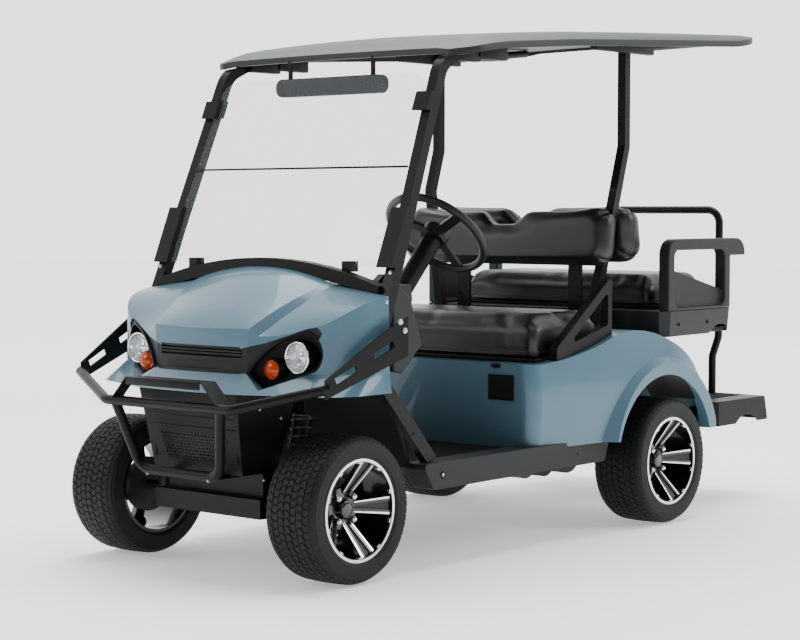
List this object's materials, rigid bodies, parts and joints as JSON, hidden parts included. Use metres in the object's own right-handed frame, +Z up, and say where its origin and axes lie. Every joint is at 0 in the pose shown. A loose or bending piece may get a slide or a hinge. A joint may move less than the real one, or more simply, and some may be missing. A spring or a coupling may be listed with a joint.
{
  "type": "golf cart",
  "caption": "Electric golf cart with a front bench, a rear-facing bench over a footplate, a full roof, windshield and brush guard.",
  "frame": {"origin": "on the ground under the middle of the overall length, on the centre plane", "axes": "+Z up, the cart faces -Y, +X is its left (driver's) side"},
  "size_m": [1.3056, 2.908, 1.8624],
  "materials": {
    "tyre": "matte",
    "black_rim": "gloss",
    "cast_steel": "matte",
    "steel": "brushed",
    "frame_steel": "satin",
    "motor_paint": "satin",
    "soft_black": "matte",
    "black_plastic": "matte",
    "floor_mat": "matte",
    "grey_plastic": "satin",
    "blue_body": "gloss",
    "lamp_glass": "gloss",
    "amber_lens": "gloss",
    "clear_pane": "gloss",
    "black_vinyl": "satin",
    "roof_plastic": "satin",
    "battery_case": "matte"
  },
  "bodies": {
    "chassis": {"front_axle": "frame_steel", "chassis_frame": "frame_steel", "front_dampers": "frame_steel", "rear_axle": "cast_steel", "drive_motor": "motor_paint", "leaf_springs": "frame_steel", "steering_column": "black_plastic", "pedals": "frame_steel", "floor_pan": "floor_mat", "sills": "grey_plastic", "front_cowl": "blue_body", "nose_chin": "blue_body", "nose_fascia": "grey_plastic", "lamp_bezels": "black_plastic", "head_lamps": "lamp_glass", "turn_lamps": "amber_lens", "front_grille": "black_plastic", "brush_guard": "frame_steel", "guard_plates": "frame_steel", "pillars": "frame_steel", "windshield": "clear_pane", "windshield_clips": "black_plastic", "mirror": "black_plastic", "cowl_trim": "black_plastic", "dash_panel": "grey_plastic", "dash_side_panels": "grey_plastic", "rear_body": "blue_body", "arch_liners": "black_plastic", "service_cover": "black_plastic", "front_seat_back": "black_vinyl", "rear_seat_back": "black_vinyl", "hip_restraints": "black_plastic", "back_brackets": "frame_steel", "rear_tub": "grey_plastic", "armrests": "grey_plastic", "rear_supports": "frame_steel", "footplate": "black_plastic", "grab_hoop": "frame_steel", "roof": "roof_plastic", "roof_struts": "frame_steel", "battery_pack": "battery_case"},
    "steering": {"steering_wheel": "soft_black"},
    "left_knuckle": {"knuckle_left": "cast_steel"},
    "right_knuckle": {"knuckle_right": "cast_steel"},
    "steering_rack": {"tie_rods": "steel"},
    "front_left_wheel": {"tyre_front_left": "tyre", "rim_front_left": "black_rim"},
    "front_right_wheel": {"tyre_front_right": "tyre", "rim_front_right": "black_rim"},
    "rear_left_wheel": {"tyre_rear_left": "tyre", "rim_rear_left": "black_rim"},
    "rear_right_wheel": {"tyre_rear_right": "tyre", "rim_rear_right": "black_rim"},
    "front_bench": {"bench_board": "black_plastic", "bench_cushion": "black_vinyl"},
    "rear_bench": {"rear_board": "black_plastic", "rear_cushion": "black_vinyl"}
  },
  "joints": [
    {"name": "steering_wheel_turn", "type": "hinge", "parent": "chassis", "child": "steering", "pos_m": [0.25, -0.398, 1.085], "axis": [0, 0.6938, 0.7201], "range_deg": [-500, 500]},
    {"name": "left_knuckle_turn", "type": "hinge", "parent": "chassis", "child": "left_knuckle", "pos_m": [0.33, -1.136, 0.2344], "axis": [0, 0, 1], "range_deg": [-28, 28]},
    {"name": "right_knuckle_turn", "type": "hinge", "parent": "chassis", "child": "right_knuckle", "pos_m": [-0.33, -1.136, 0.2344], "axis": [0, 0, 1], "range_deg": [-28, 28]},
    {"name": "steering_rack_slide", "type": "slide", "parent": "chassis", "child": "steering_rack", "axis": [1, 0, 0], "range_m": [-0.0495, 0.0495]},
    {"name": "front_left_wheel_spin", "type": "hinge", "parent": "left_knuckle", "child": "front_left_wheel", "pos_m": [0.454, -1.136, 0.2344], "axis": [1, 0, 0], "continuous": true},
    {"name": "front_right_wheel_spin", "type": "hinge", "parent": "right_knuckle", "child": "front_right_wheel", "pos_m": [-0.454, -1.136, 0.2344], "axis": [1, 0, 0], "continuous": true},
    {"name": "rear_left_wheel_spin", "type": "hinge", "parent": "chassis", "child": "rear_left_wheel", "pos_m": [0.524, 0.535, 0.2344], "axis": [1, 0, 0], "continuous": true},
    {"name": "rear_right_wheel_spin", "type": "hinge", "parent": "chassis", "child": "rear_right_wheel", "pos_m": [-0.524, 0.535, 0.2344], "axis": [1, 0, 0], "continuous": true},
    {"name": "front_bench_lift", "type": "hinge", "parent": "chassis", "child": "front_bench", "pos_m": [0, 0.274, 0.735], "axis": [-1, 0, 0], "range_deg": [0, 60]},
    {"name": "rear_bench_lift", "type": "hinge", "parent": "chassis", "child": "rear_bench", "pos_m": [0, 0.626, 0.788], "axis": [1, 0, 0], "range_deg": [0, 60]}
  ],
  "couplings": [
    {"joint": "left_knuckle_turn", "follows": "steering_wheel_turn", "ratio": 0.05599},
    {"joint": "right_knuckle_turn", "follows": "steering_wheel_turn", "ratio": 0.05599},
    {"joint": "steering_rack_slide", "follows": "steering_wheel_turn", "m_per_rad": -0.00565}
  ]
}
